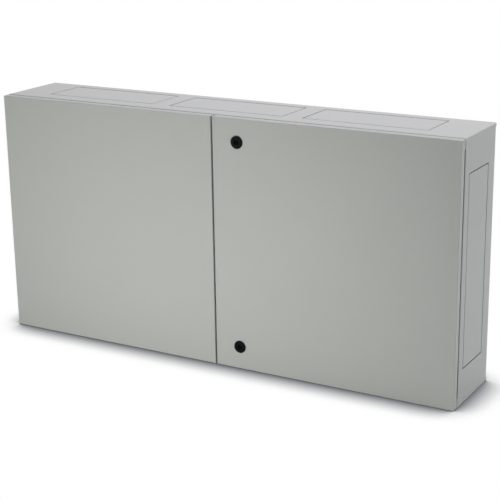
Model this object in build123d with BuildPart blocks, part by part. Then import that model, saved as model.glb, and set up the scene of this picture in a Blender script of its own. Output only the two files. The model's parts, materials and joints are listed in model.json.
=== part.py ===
from build123d import *

import os

# Wall-fixing sheet-steel distribution cabinet with two doors, in millimetres.
# X runs to the right, Y to the back and Z up. The origin is the centre of the base.
# Depths are counted back from the outer face of the doors.

# Overall size
WIDTH = 1300.0
HEIGHT = 650.0
DEPTH = 220.0

# Sheet and folds
SHEET = 1.5
BODY_BEND = 3.0
DOOR_BEND = 2.5

# Front of the body
TOP_FRONT = 20.0
SIDE_FRONT = 29.0
SIDE_FOLD = 2.0
RIM_FRONT = 9.0
TOP_GUTTER = 25.0
SIDE_GUTTER = 30.0
SKIRT = 8.0

# Back panel
BACK_FLANGE = 13.5
WALL_HOLE_RADIUS = 4.5
WALL_HOLE_SPACING_X = 1240.0
WALL_HOLE_SPACING_Z = 570.0

# Centre post
POST_WIDTH = 53.0
POST_DEPTH = 27.5

# Gland plates
TOP_PLATE_LENGTH = 323.0
SIDE_PLATE_LENGTH = 470.0
PLATE_WIDTH = 120.0
PLATE_SPACING = 380.0
TOP_PLATE_DEPTH = 128.5
SIDE_PLATE_DEPTH = 117.0
GROOVE = 3.0
BRIM = 12.0
SEAL_THICKNESS = 3.0
PLATE_CORNER = 1.5
PLATE_EDGE = 0.6
BRIM_CORNER = 4.0
PLATE_STUD_RADIUS = 2.5
PLATE_STUD_LENGTH = 13.0
PLATE_STUD_HOLE = 3.0
PLATE_NUT_FLATS = 8.0
PLATE_NUT_HEIGHT = 4.0

# Mounting plate
MOUNTING_SHEET = 2.0
MOUNTING_WIDTH = 1200.0
MOUNTING_HEIGHT = 550.0
MOUNTING_BACK = 200.0
MOUNTING_FOLD = 12.0
MOUNTING_STUD_SPACING_X = 1150.0
MOUNTING_STUD_SPACING_Z = 500.0
MOUNTING_STUD_RADIUS = 4.0
MOUNTING_STUD_LENGTH = 30.0
MOUNTING_HOLE = 4.5
MOUNTING_NUT_FLATS = 13.0
MOUNTING_NUT_HEIGHT = 6.5
SPACER_RADIUS = 8.0

# Doors
SEAM = 4.0
SEAM_NOTCH = 12.0
DOOR_GAP = 1.0
DOOR_RETURN = 17.0
DOOR_SEAL_WIDTH = 10.0
DOOR_SEAL_CLEARANCE = 0.3
DOOR_SEAL_CORNER = 8.0

# Door stiffener
STIFFENER_WIDTH = 44.0
STIFFENER_CROWN = 26.0
STIFFENER_HEIGHT = 520.0
STIFFENER_DEPTH = 11.0
STIFFENER_SLOTS = 8
STIFFENER_SLOT_PITCH = 60.0
STIFFENER_SLOT_LENGTH = 24.0
STIFFENER_SLOT_WIDTH = 8.0

# Hinges
HINGE_HEIGHTS = (100.0, 550.0)
PIN_FROM_SIDE = 6.0
PIN_DEPTH = 11.0
PIN_RADIUS = 2.0
PIN_CLEARANCE = 0.05
PIN_HEAD_RADIUS = 3.2
PIN_HEAD_HEIGHT = 1.5
KNUCKLE_RADIUS = 4.0
ARM_HEIGHT = 25.0
ARM_THICKNESS = 2.5
ARM_REACH = 12.0
ARM_BEND = 4.0
FOOT_OUTER = 12.0
FOOT_INNER = 28.0
BRACKET_SHEET = 2.0
BRACKET_GAP = 0.5
BRACKET_FROM_SIDE = 2.6
BRACKET_WIDTH = 16.0
BRACKET_DEPTH = 14.4
HINGE_SCREW_FROM_SIDE = 24.0
HINGE_SCREW_SPACING = 14.0
HINGE_SCREW_RADIUS = 2.4
HINGE_SCREW_HOLE = 2.5
HINGE_SCREW_LENGTH = 10.0
HINGE_SCREW_FLATS = 7.0
HINGE_SCREW_HEAD_HEIGHT = 2.8

# Locks
LOCK_HEIGHTS = (60.0, 590.0)
LOCK_FROM_CENTRE = 72.0
ROSETTE_RADIUS = 16.5
ROSETTE_HEIGHT = 3.5
ROSETTE_LIP = 2.4
BARREL_RADIUS = 11.0
BARREL_FLATS = 20.0
BARREL_CLEARANCE = 0.25
BARREL_BACK = 18.0
LOCK_NUT_FLATS = 27.0
LOCK_NUT_HEIGHT = 5.0
ROTOR_RADIUS = 8.2
ROTOR_NECK_RADIUS = 5.5
ROTOR_CLEARANCE = 0.05
ROTOR_SHOULDER = 10.0
ROTOR_RECESS = 1.2
SOCKET_RADIUS = 6.0
SOCKET_DEPTH = 8.0
KEY_PIN_RADIUS = 2.5
KEY_BIT_REACH = 4.6
KEY_BIT_WIDTH = 2.0
KEY_PIN_RECESS = 1.0
CAM_FRONT = 22.5
CAM_THICKNESS = 3.0
CAM_WIDTH = 16.0
CAM_REACH = 44.0
CAM_SQUARE = 7.5
CAM_SCREW_RADIUS = 2.1
CAM_SCREW_LENGTH = 7.0
CAM_SCREW_FLATS = 10.0
CAM_SCREW_HEAD_HEIGHT = 3.0

# Slide bolts of the left door
BOLT_FROM_CENTRE = 12.0
BOLT_DEPTH = 13.5
BOLT_RADIUS = 3.0
BOLT_HOLE = 3.5
BOLT_LENGTH = 100.0
BOLT_TIP_GAP = 0.5
BOLT_TIP_BEVEL = 1.0
BOLT_GUIDE_CLEARANCE = 0.05
BOLT_BRACKET_HEIGHT = 72.0
BOLT_BRACKET_REACH = 14.0
BOLT_BRACKET_FRONT = 5.0
BOLT_BRACKET_FROM_TIP = 10.0
BOLT_KNOB_FROM_TIP = 52.0
BOLT_KNOB_STEM = 2.5
BOLT_KNOB_RADIUS = 5.0
BOLT_KNOB_REACH = 27.0
BOLT_KNOB_HEAD = 3.5

# Earthing studs
EARTH_STUD_RADIUS = 3.0
EARTH_STUD_LENGTH = 14.0
EARTH_NUT_FLATS = 10.0
EARTH_NUT_HEIGHT = 5.0
EARTH_DOOR_FROM_SIDE = 60.0
EARTH_DOOR_HEIGHT = 60.0
EARTH_BODY_X = 560.0
EARTH_BODY_HEIGHT = 28.0

# Places that follow from the sizes above
MIDDLE = HEIGHT / 2
RIM_X = WIDTH / 2 - SIDE_GUTTER
RIM_TOP = HEIGHT - TOP_GUTTER
RIM_BOTTOM = TOP_GUTTER
PANEL_X = WIDTH / 2 - SHEET
INNER_X = PANEL_X - SHEET
PIN_X = WIDTH / 2 - PIN_FROM_SIDE
DOOR_WIDTH = (WIDTH - SEAM) / 2
DOOR_HEIGHT = HEIGHT - 2 * DOOR_GAP
DOOR_CENTRE = (WIDTH + SEAM) / 4
STUD_INSET = GROOVE + BRIM / 2
BRIM_BACK = 2 * SHEET + SEAL_THICKNESS
POST_TOP = RIM_TOP - SHEET
POST_BOTTOM = RIM_BOTTOM + SHEET
RIGHT = 1
LEFT = -1


def y_at(depth):
    """Y of a point at this depth behind the door faces."""
    return depth - DEPTH / 2


def at_depth(depth):
    """Plane parallel to the doors at this depth, with its normal to the front."""
    return Plane.XZ.offset(-y_at(depth))


def write(builder, name):
    """Label a finished piece and write it to its own file."""
    builder.part.label = name
    export_step(builder.part, f"parts/{name}.step")


os.makedirs("parts", exist_ok=True)

# Planes on the outer face of each gland plate, with the normal pointing out of the cabinet
PLATE_ROW = (-PLATE_SPACING, 0.0, PLATE_SPACING)
top_plate_planes = [
    Plane(origin=(x, y_at(TOP_PLATE_DEPTH), HEIGHT), x_dir=(1, 0, 0), z_dir=(0, 0, 1))
    for x in PLATE_ROW
]
bottom_plate_planes = [
    Plane(origin=(x, y_at(TOP_PLATE_DEPTH), 0), x_dir=(1, 0, 0), z_dir=(0, 0, -1))
    for x in PLATE_ROW
]
right_plate_plane = Plane(
    origin=(PANEL_X, y_at(SIDE_PLATE_DEPTH), MIDDLE), x_dir=(0, 0, 1), z_dir=(1, 0, 0)
)
left_plate_plane = Plane(
    origin=(-PANEL_X, y_at(SIDE_PLATE_DEPTH), MIDDLE), x_dir=(0, 0, 1), z_dir=(-1, 0, 0)
)


def plate_window(plane, length):
    """Block that cuts the window of one gland plate through its panel."""
    with BuildPart() as window:
        with BuildSketch(plane):
            RectangleRounded(length + 2 * GROOVE, PLATE_WIDTH + 2 * GROOVE, PLATE_CORNER)
        extrude(amount=-2 * SHEET)
    return window.part


def plate_studs(plane, length):
    """Weld studs on the inner face of a panel, one at each corner of the window."""
    with BuildPart() as studs:
        with BuildSketch(plane.offset(-SHEET)):
            with GridLocations(length + 2 * STUD_INSET, PLATE_WIDTH + 2 * STUD_INSET, 2, 2):
                Circle(PLATE_STUD_RADIUS)
        extrude(amount=-PLATE_STUD_LENGTH)
    return studs.part


def gland_plate(plane, length):
    """Pressed cover: an island flush with the panel, a short wall and a brim behind it."""
    with BuildPart() as plate:
        with BuildSketch(plane.offset(-BRIM_BACK)):
            RectangleRounded(length, PLATE_WIDTH, PLATE_CORNER)
        extrude(amount=BRIM_BACK)
        outward = Axis(origin=plane.origin, direction=plane.z_dir)
        fillet(plate.faces().sort_by(outward)[-1].edges(), radius=PLATE_EDGE)
        with BuildSketch(plane.offset(-BRIM_BACK)):
            brim_growth = 2 * (GROOVE + BRIM)
            RectangleRounded(length + brim_growth, PLATE_WIDTH + brim_growth, BRIM_CORNER)
        extrude(amount=SHEET)
        with BuildSketch(plane.offset(-BRIM_BACK)):
            Rectangle(length - 2 * SHEET, PLATE_WIDTH - 2 * SHEET)
        extrude(amount=BRIM_BACK - SHEET, mode=Mode.SUBTRACT)
        with BuildSketch(plane.offset(-BRIM_BACK)):
            with GridLocations(length + 2 * STUD_INSET, PLATE_WIDTH + 2 * STUD_INSET, 2, 2):
                Circle(PLATE_STUD_HOLE)
        extrude(amount=SHEET, mode=Mode.SUBTRACT)
    return plate.part


def gland_seal(plane, length):
    """Flat seal on the brim of a gland plate, which also lines the groove round its island."""
    with BuildPart() as seal:
        with BuildSketch(plane.offset(-SHEET - SEAL_THICKNESS)):
            brim_growth = 2 * (GROOVE + BRIM)
            RectangleRounded(length + brim_growth, PLATE_WIDTH + brim_growth, BRIM_CORNER)
            RectangleRounded(length, PLATE_WIDTH, PLATE_CORNER, mode=Mode.SUBTRACT)
            with GridLocations(length + 2 * STUD_INSET, PLATE_WIDTH + 2 * STUD_INSET, 2, 2):
                Circle(PLATE_STUD_HOLE, mode=Mode.SUBTRACT)
        extrude(amount=SEAL_THICKNESS)
    return seal.part


def plate_nuts(plane, length):
    """Nuts behind the brim of a gland plate, one on each weld stud."""
    with BuildPart() as nuts:
        with BuildSketch(plane.offset(-BRIM_BACK - PLATE_NUT_HEIGHT)):
            with GridLocations(length + 2 * STUD_INSET, PLATE_WIDTH + 2 * STUD_INSET, 2, 2):
                RegularPolygon(PLATE_NUT_FLATS / 2, 6, major_radius=False)
                Circle(PLATE_STUD_RADIUS + PIN_CLEARANCE, mode=Mode.SUBTRACT)
        extrude(amount=PLATE_NUT_HEIGHT)
    return nuts.part


def seam_cuts(low, high):
    """Cuts between two heights: a notch for the returns at the seam, and the bolt hole."""
    notch_back = TOP_FRONT + SHEET - BODY_BEND
    with BuildPart() as cuts:
        with BuildSketch(Plane.XY.offset(low)):
            with Locations((0, y_at((RIM_FRONT + notch_back) / 2))):
                Rectangle(SEAM_NOTCH, notch_back - RIM_FRONT)
            with Locations((-BOLT_FROM_CENTRE, y_at(BOLT_DEPTH))):
                Circle(BOLT_HOLE)
        extrude(amount=high - low)
    return cuts.part


# Top panel: a shallow tray with its sides cut back to skirts, and a rim folded forward
with BuildPart() as top_panel:
    with BuildSketch(Plane.XY.offset(RIM_TOP)):
        with Locations((0, y_at((TOP_FRONT + DEPTH) / 2))):
            Rectangle(WIDTH, DEPTH - TOP_FRONT)
    extrude(amount=TOP_GUTTER)
    upper_face = top_panel.faces().sort_by(Axis.Z)[-1]
    folds = upper_face.edges().sort_by(Axis.Y)[:-1]
    front_corners = top_panel.edges().filter_by(Axis.Z).sort_by(Axis.Y)[:2]
    fillet(folds + front_corners, radius=BODY_BEND)
    open_faces = [top_panel.faces().sort_by(Axis.Z)[0], top_panel.faces().sort_by(Axis.Y)[-1]]
    offset(amount=-SHEET, openings=open_faces)
    with BuildSketch(Plane.XY.offset(RIM_TOP)):
        with Locations((0, y_at((TOP_FRONT + BODY_BEND + DEPTH) / 2))):
            Rectangle(WIDTH, DEPTH - TOP_FRONT - BODY_BEND)
    extrude(amount=TOP_GUTTER - SKIRT, mode=Mode.SUBTRACT)
    with BuildSketch(Plane.YZ):
        with BuildLine():
            FilletPolyline(
                (y_at(RIM_FRONT), POST_TOP),
                (y_at(TOP_FRONT + SHEET), POST_TOP),
                (y_at(TOP_FRONT + SHEET), POST_TOP + TOP_GUTTER / 2),
                radius=BODY_BEND,
            )
            offset(amount=SHEET, side=Side.LEFT)
        make_face()
    extrude(amount=RIM_X - SHEET, both=True)
    add(seam_cuts(POST_TOP, RIM_TOP), mode=Mode.SUBTRACT)
    for plate_plane in top_plate_planes:
        add(plate_window(plate_plane, TOP_PLATE_LENGTH), mode=Mode.SUBTRACT)
write(top_panel, "top_panel")

# Bottom panel: the same pressing turned over
with BuildPart() as bottom_panel:
    mirror(top_panel.part, about=Plane.XY.offset(MIDDLE))
write(bottom_panel, "bottom_panel")


def side_section(with_rim):
    """Plan section of the right side panel: wall, gutter floor and, if asked, the rim."""
    wall_and_floor = [
        (PANEL_X, y_at(DEPTH)),
        (PANEL_X, y_at(SIDE_FRONT)),
        (RIM_X, y_at(SIDE_FRONT)),
    ]
    rim = [(RIM_X, y_at(RIM_FRONT))] if with_rim else []
    radii = [SIDE_FOLD, BODY_BEND - SHEET] if with_rim else [SIDE_FOLD]
    with BuildSketch() as section:
        with BuildLine():
            FilletPolyline(*wall_and_floor, *rim, radius=radii)
            offset(amount=SHEET, side=Side.RIGHT)
        make_face()
    return section.sketch


# Right side panel: a wall with the gutter floor and rim folded at its front
with BuildPart() as right_side_panel:
    with BuildSketch(Plane.XY.offset(2 * SHEET)):
        add(side_section(False))
    extrude(amount=HEIGHT - 4 * SHEET)
    with BuildSketch(Plane.XY.offset(RIM_BOTTOM)):
        add(side_section(True))
    extrude(amount=RIM_TOP - RIM_BOTTOM)
    add(plate_window(right_plate_plane, SIDE_PLATE_LENGTH), mode=Mode.SUBTRACT)
    with BuildSketch(at_depth(SIDE_FRONT)):
        for hinge_z in HINGE_HEIGHTS:
            with Locations((WIDTH / 2 - HINGE_SCREW_FROM_SIDE, hinge_z)):
                with GridLocations(0, HINGE_SCREW_SPACING, 1, 2):
                    Circle(HINGE_SCREW_HOLE)
    extrude(amount=-SHEET, mode=Mode.SUBTRACT)
write(right_side_panel, "right_side_panel")

# Left side panel: the mirror image
with BuildPart() as left_side_panel:
    mirror(right_side_panel.part, about=Plane.YZ)
write(left_side_panel, "left_side_panel")

# Back panel: a shallow tray open to the front, with wall-fixing holes
with BuildPart() as back_panel:
    with BuildSketch(at_depth(DEPTH)):
        with Locations((0, MIDDLE)):
            Rectangle(2 * INNER_X, HEIGHT - 2 * SHEET)
    extrude(amount=BACK_FLANGE)
    rear_face = back_panel.faces().sort_by(Axis.Y)[-1]
    fillet(rear_face.edges() + back_panel.edges().filter_by(Axis.Y), radius=BODY_BEND)
    offset(amount=-SHEET, openings=back_panel.faces().sort_by(Axis.Y)[0])
    with BuildSketch(at_depth(DEPTH)):
        with Locations((0, MIDDLE)):
            with GridLocations(WALL_HOLE_SPACING_X, WALL_HOLE_SPACING_Z, 2, 2):
                Circle(WALL_HOLE_RADIUS)
    extrude(amount=SHEET, mode=Mode.SUBTRACT)
write(back_panel, "back_panel")

# Studs welded to the back panel: four for the mounting plate and one for earthing
with BuildPart() as back_panel_studs:
    with BuildSketch(at_depth(DEPTH - SHEET)):
        with Locations((0, MIDDLE)):
            with GridLocations(MOUNTING_STUD_SPACING_X, MOUNTING_STUD_SPACING_Z, 2, 2):
                Circle(MOUNTING_STUD_RADIUS)
    extrude(amount=MOUNTING_STUD_LENGTH)
    with BuildSketch(at_depth(DEPTH - SHEET)):
        with Locations((EARTH_BODY_X, EARTH_BODY_HEIGHT)):
            Circle(EARTH_STUD_RADIUS)
    extrude(amount=EARTH_STUD_LENGTH)
write(back_panel_studs, "back_panel_studs")

# Centre post: a long trough open to the front, whose two edges carry the door seals
with BuildPart() as centre_post:
    with BuildSketch(at_depth(RIM_FRONT)):
        with Locations((0, MIDDLE)):
            Rectangle(POST_WIDTH, POST_TOP - POST_BOTTOM)
    extrude(amount=-POST_DEPTH)
    post_folds = centre_post.faces().sort_by(Axis.Y)[-1].edges().filter_by(Axis.Z)
    fillet(post_folds, radius=BODY_BEND)
    offset(amount=-SHEET, openings=centre_post.faces().sort_by(Axis.Y)[0])
    add(seam_cuts(POST_BOTTOM, POST_TOP), mode=Mode.SUBTRACT)
write(centre_post, "centre_post")

# Gland plates with their seals, weld studs and nuts
for number, plate_plane in enumerate(top_plate_planes, start=1):
    with BuildPart() as top_gland_plate:
        add(gland_plate(plate_plane, TOP_PLATE_LENGTH))
    write(top_gland_plate, f"top_gland_plate_{number}")

for number, plate_plane in enumerate(bottom_plate_planes, start=1):
    with BuildPart() as bottom_gland_plate:
        add(gland_plate(plate_plane, TOP_PLATE_LENGTH))
    write(bottom_gland_plate, f"bottom_gland_plate_{number}")

with BuildPart() as right_gland_plate:
    add(gland_plate(right_plate_plane, SIDE_PLATE_LENGTH))
write(right_gland_plate, "right_gland_plate")

with BuildPart() as left_gland_plate:
    add(gland_plate(left_plate_plane, SIDE_PLATE_LENGTH))
write(left_gland_plate, "left_gland_plate")

with BuildPart() as top_gland_seals:
    for plate_plane in top_plate_planes:
        add(gland_seal(plate_plane, TOP_PLATE_LENGTH))
write(top_gland_seals, "top_gland_seals")

with BuildPart() as bottom_gland_seals:
    for plate_plane in bottom_plate_planes:
        add(gland_seal(plate_plane, TOP_PLATE_LENGTH))
write(bottom_gland_seals, "bottom_gland_seals")

with BuildPart() as side_gland_seals:
    for plate_plane in (left_plate_plane, right_plate_plane):
        add(gland_seal(plate_plane, SIDE_PLATE_LENGTH))
write(side_gland_seals, "side_gland_seals")

with BuildPart() as gland_plate_studs:
    for plate_plane in top_plate_planes + bottom_plate_planes:
        add(plate_studs(plate_plane, TOP_PLATE_LENGTH))
    for plate_plane in (left_plate_plane, right_plate_plane):
        add(plate_studs(plate_plane, SIDE_PLATE_LENGTH))
write(gland_plate_studs, "gland_plate_studs")

with BuildPart() as gland_plate_nuts:
    for plate_plane in top_plate_planes + bottom_plate_planes:
        add(plate_nuts(plate_plane, TOP_PLATE_LENGTH))
    for plate_plane in (left_plate_plane, right_plate_plane):
        add(plate_nuts(plate_plane, SIDE_PLATE_LENGTH))
write(gland_plate_nuts, "gland_plate_nuts")

# Mounting plate: top and bottom edges folded forward, hung on four studs
with BuildPart() as mounting_plate:
    with BuildSketch(Plane.YZ):
        with BuildLine():
            FilletPolyline(
                (y_at(MOUNTING_BACK - MOUNTING_FOLD), MIDDLE - MOUNTING_HEIGHT / 2),
                (y_at(MOUNTING_BACK), MIDDLE - MOUNTING_HEIGHT / 2),
                (y_at(MOUNTING_BACK), MIDDLE + MOUNTING_HEIGHT / 2),
                (y_at(MOUNTING_BACK - MOUNTING_FOLD), MIDDLE + MOUNTING_HEIGHT / 2),
                radius=BODY_BEND,
            )
            offset(amount=MOUNTING_SHEET, side=Side.LEFT)
        make_face()
    extrude(amount=MOUNTING_WIDTH / 2, both=True)
    with BuildSketch(at_depth(MOUNTING_BACK)):
        with Locations((0, MIDDLE)):
            with GridLocations(MOUNTING_STUD_SPACING_X, MOUNTING_STUD_SPACING_Z, 2, 2):
                Circle(MOUNTING_HOLE)
    extrude(amount=MOUNTING_SHEET, mode=Mode.SUBTRACT)
write(mounting_plate, "mounting_plate")

with BuildPart() as mounting_spacers:
    with BuildSketch(at_depth(DEPTH - SHEET)):
        with Locations((0, MIDDLE)):
            with GridLocations(MOUNTING_STUD_SPACING_X, MOUNTING_STUD_SPACING_Z, 2, 2):
                Circle(SPACER_RADIUS)
                Circle(MOUNTING_HOLE, mode=Mode.SUBTRACT)
    extrude(amount=DEPTH - SHEET - MOUNTING_BACK)
write(mounting_spacers, "mounting_spacers")

with BuildPart() as mounting_nuts:
    with BuildSketch(at_depth(MOUNTING_BACK - MOUNTING_SHEET)):
        with Locations((0, MIDDLE)):
            with GridLocations(MOUNTING_STUD_SPACING_X, MOUNTING_STUD_SPACING_Z, 2, 2):
                RegularPolygon(MOUNTING_NUT_FLATS / 2, 6, major_radius=False)
                Circle(MOUNTING_STUD_RADIUS + PIN_CLEARANCE, mode=Mode.SUBTRACT)
    extrude(amount=MOUNTING_NUT_HEIGHT)
write(mounting_nuts, "mounting_nuts")


def earth_nut(x, z, depth):
    """Nut tightened against the sheet whose inner face is at this depth, facing the inside."""
    with BuildPart() as nut:
        with BuildSketch(at_depth(depth)):
            with Locations((x, z)):
                RegularPolygon(EARTH_NUT_FLATS / 2, 6, major_radius=False)
                Circle(EARTH_STUD_RADIUS + PIN_CLEARANCE, mode=Mode.SUBTRACT)
        inwards = 1 if depth > DEPTH / 2 else -1
        extrude(amount=inwards * EARTH_NUT_HEIGHT)
    return nut.part


def door_pan(side):
    """Folded pan of one leaf, open to the back, with its earthing stud."""
    with BuildPart() as pan:
        with BuildSketch(at_depth(0)):
            with Locations((side * DOOR_CENTRE, MIDDLE)):
                Rectangle(DOOR_WIDTH, DOOR_HEIGHT)
        extrude(amount=-DOOR_RETURN)
        front_face = pan.faces().sort_by(Axis.Y)[0]
        fillet(front_face.edges() + pan.edges().filter_by(Axis.Y), radius=DOOR_BEND)
        offset(amount=-SHEET, openings=pan.faces().sort_by(Axis.Y)[-1])
        with BuildSketch(at_depth(SHEET)):
            with Locations((side * (WIDTH / 2 - EARTH_DOOR_FROM_SIDE), EARTH_DOOR_HEIGHT)):
                Circle(EARTH_STUD_RADIUS)
        extrude(amount=-EARTH_STUD_LENGTH)
    return pan.part


def door_seal(side):
    """Foamed seal: a closed ring on the inner face that meets the rims and the post edge."""
    outer = RIM_X - SHEET / 2 + DOOR_SEAL_WIDTH / 2
    inner = POST_WIDTH / 2 - SHEET / 2 - DOOR_SEAL_WIDTH / 2
    tall = RIM_TOP - RIM_BOTTOM - SHEET + DOOR_SEAL_WIDTH
    with BuildPart() as seal:
        with BuildSketch(at_depth(SHEET)):
            with Locations((side * (outer + inner) / 2, MIDDLE)):
                RectangleRounded(outer - inner, tall, DOOR_SEAL_CORNER)
                RectangleRounded(
                    outer - inner - 2 * DOOR_SEAL_WIDTH,
                    tall - 2 * DOOR_SEAL_WIDTH,
                    DOOR_SEAL_CORNER / 2,
                    mode=Mode.SUBTRACT,
                )
        extrude(amount=-(RIM_FRONT - DOOR_SEAL_CLEARANCE - SHEET))
    return seal.part


def door_stiffener(side):
    """Hat-section bar with a row of slots, welded upright inside a leaf."""
    flange = (STIFFENER_WIDTH - STIFFENER_CROWN) / 2
    centre = side * DOOR_CENTRE
    back = SHEET + STIFFENER_DEPTH
    with BuildPart() as bar:
        with BuildSketch(Plane.XY.offset(MIDDLE - STIFFENER_HEIGHT / 2)):
            with BuildLine():
                FilletPolyline(
                    (centre - STIFFENER_WIDTH / 2, y_at(2 * SHEET)),
                    (centre - STIFFENER_WIDTH / 2 + flange, y_at(2 * SHEET)),
                    (centre - STIFFENER_WIDTH / 2 + flange, y_at(back)),
                    (centre + STIFFENER_WIDTH / 2 - flange, y_at(back)),
                    (centre + STIFFENER_WIDTH / 2 - flange, y_at(2 * SHEET)),
                    (centre + STIFFENER_WIDTH / 2, y_at(2 * SHEET)),
                    radius=[SHEET, BODY_BEND, BODY_BEND, SHEET],
                )
                offset(amount=SHEET, side=Side.RIGHT)
            make_face()
        extrude(amount=STIFFENER_HEIGHT)
        with BuildSketch(at_depth(back)):
            with Locations((centre, MIDDLE)):
                with GridLocations(0, STIFFENER_SLOT_PITCH, 1, STIFFENER_SLOTS):
                    SlotOverall(STIFFENER_SLOT_LENGTH, STIFFENER_SLOT_WIDTH, rotation=90)
        extrude(amount=SHEET, mode=Mode.SUBTRACT)
    return bar.part


def lock_hole(height):
    """Round hole with two flats that keep a lock barrel from turning."""
    with BuildPart() as hole:
        with BuildSketch(at_depth(0)):
            with Locations((LOCK_FROM_CENTRE, height)):
                Circle(BARREL_RADIUS + BARREL_CLEARANCE)
                Rectangle(
                    BARREL_FLATS + 2 * BARREL_CLEARANCE, 2 * ROSETTE_RADIUS, mode=Mode.INTERSECT
                )
        extrude(amount=-SHEET)
    return hole.part


# Doors
with BuildPart() as right_door:
    add(door_pan(RIGHT))
    for lock_z in LOCK_HEIGHTS:
        add(lock_hole(lock_z), mode=Mode.SUBTRACT)
write(right_door, "right_door")

with BuildPart() as left_door:
    add(door_pan(LEFT))
write(left_door, "left_door")

for side, leaf in ((RIGHT, "right"), (LEFT, "left")):
    with BuildPart() as leaf_seal:
        add(door_seal(side))
    write(leaf_seal, f"{leaf}_door_seal")
    with BuildPart() as leaf_stiffener:
        add(door_stiffener(side))
    write(leaf_stiffener, f"{leaf}_door_stiffener")
    with BuildPart() as leaf_earth_nut:
        earth_x = side * (WIDTH / 2 - EARTH_DOOR_FROM_SIDE)
        add(earth_nut(earth_x, EARTH_DOOR_HEIGHT, SHEET))
    write(leaf_earth_nut, f"{leaf}_door_earth_nut")

with BuildPart() as cabinet_earth_nut:
    add(earth_nut(EARTH_BODY_X, EARTH_BODY_HEIGHT, DEPTH - SHEET))
write(cabinet_earth_nut, "cabinet_earth_nut")


def hinge_arm(side, height):
    """Gooseneck arm: a knuckle on the pin, a bent neck and a foot on the gutter floor."""
    pin = (PIN_X, y_at(PIN_DEPTH))
    neck_front = PIN_DEPTH - ARM_THICKNESS / 2
    neck_x = PIN_X - ARM_REACH - ARM_THICKNESS / 2
    foot_width = FOOT_INNER - FOOT_OUTER
    foot_centre = (WIDTH / 2 - (FOOT_INNER + FOOT_OUTER) / 2, y_at(SIDE_FRONT - ARM_THICKNESS / 2))
    with BuildPart() as arm:
        with BuildSketch(Plane.XY.offset(height - ARM_HEIGHT / 2)):
            with BuildLine():
                FilletPolyline(
                    (PIN_X, y_at(neck_front)),
                    (neck_x, y_at(neck_front)),
                    (neck_x, y_at(SIDE_FRONT)),
                    radius=ARM_BEND,
                )
                offset(amount=ARM_THICKNESS, side=Side.RIGHT)
            make_face()
            with Locations(pin):
                Circle(KNUCKLE_RADIUS)
            with Locations(foot_centre):
                Rectangle(foot_width, ARM_THICKNESS)
            with Locations(pin):
                Circle(PIN_RADIUS + PIN_CLEARANCE, mode=Mode.SUBTRACT)
        extrude(amount=ARM_HEIGHT)
        with BuildSketch(at_depth(SIDE_FRONT)):
            with Locations((WIDTH / 2 - HINGE_SCREW_FROM_SIDE, height)):
                with GridLocations(0, HINGE_SCREW_SPACING, 1, 2):
                    Circle(HINGE_SCREW_HOLE)
        extrude(amount=ARM_THICKNESS, mode=Mode.SUBTRACT)
        if side == LEFT:
            mirror(about=Plane.YZ, mode=Mode.REPLACE)
    return arm.part


def hinge_bracket(side, height):
    """U-shaped bracket in a leaf: a web on the door sheet and two ears that hold the pin."""
    ear_inner = ARM_HEIGHT / 2 + BRACKET_GAP
    outer_x = WIDTH / 2 - BRACKET_FROM_SIDE
    centre = (outer_x - BRACKET_WIDTH / 2, y_at(SHEET + BRACKET_DEPTH / 2))
    with BuildPart() as bracket:
        with BuildSketch(Plane.XY.offset(height - ear_inner - BRACKET_SHEET)) as ear:
            with Locations(centre):
                Rectangle(BRACKET_WIDTH, BRACKET_DEPTH)
            fillet(ear.vertices().group_by(Axis.Y)[-1], radius=outer_x - PIN_X)
            with Locations((PIN_X, y_at(PIN_DEPTH))):
                Circle(PIN_RADIUS, mode=Mode.SUBTRACT)
        extrude(amount=2 * (ear_inner + BRACKET_SHEET))
        with BuildSketch(Plane.XY.offset(height - ear_inner)):
            with Locations((centre[0], y_at(SHEET + BRACKET_SHEET + BRACKET_DEPTH / 2))):
                Rectangle(BRACKET_WIDTH, BRACKET_DEPTH)
        extrude(amount=2 * ear_inner, mode=Mode.SUBTRACT)
        if side == LEFT:
            mirror(about=Plane.YZ, mode=Mode.REPLACE)
    return bracket.part


def hinge_pin(side, height):
    """Headed pin that stands in the ears of the bracket and in the knuckle of the arm."""
    half_length = ARM_HEIGHT / 2 + BRACKET_GAP + BRACKET_SHEET
    with BuildPart() as pin:
        with BuildSketch(Plane.XY.offset(height - half_length - PIN_HEAD_HEIGHT)):
            with Locations((side * PIN_X, y_at(PIN_DEPTH))):
                Circle(PIN_RADIUS)
        extrude(amount=2 * half_length + PIN_HEAD_HEIGHT)
        with BuildSketch(Plane.XY.offset(height + half_length)):
            with Locations((side * PIN_X, y_at(PIN_DEPTH))):
                Circle(PIN_HEAD_RADIUS)
        extrude(amount=PIN_HEAD_HEIGHT)
    return pin.part


def hinge_screws(side, height):
    """Two screws that hold the foot of an arm to the gutter floor."""
    with BuildPart() as screws:
        with BuildSketch(at_depth(SIDE_FRONT - ARM_THICKNESS)):
            with Locations((side * (WIDTH / 2 - HINGE_SCREW_FROM_SIDE), height)):
                with GridLocations(0, HINGE_SCREW_SPACING, 1, 2):
                    RegularPolygon(HINGE_SCREW_FLATS / 2, 6, major_radius=False)
        extrude(amount=HINGE_SCREW_HEAD_HEIGHT)
        with BuildSketch(at_depth(SIDE_FRONT - ARM_THICKNESS)):
            with Locations((side * (WIDTH / 2 - HINGE_SCREW_FROM_SIDE), height)):
                with GridLocations(0, HINGE_SCREW_SPACING, 1, 2):
                    Circle(HINGE_SCREW_RADIUS)
        extrude(amount=-HINGE_SCREW_LENGTH)
    return screws.part


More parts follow.
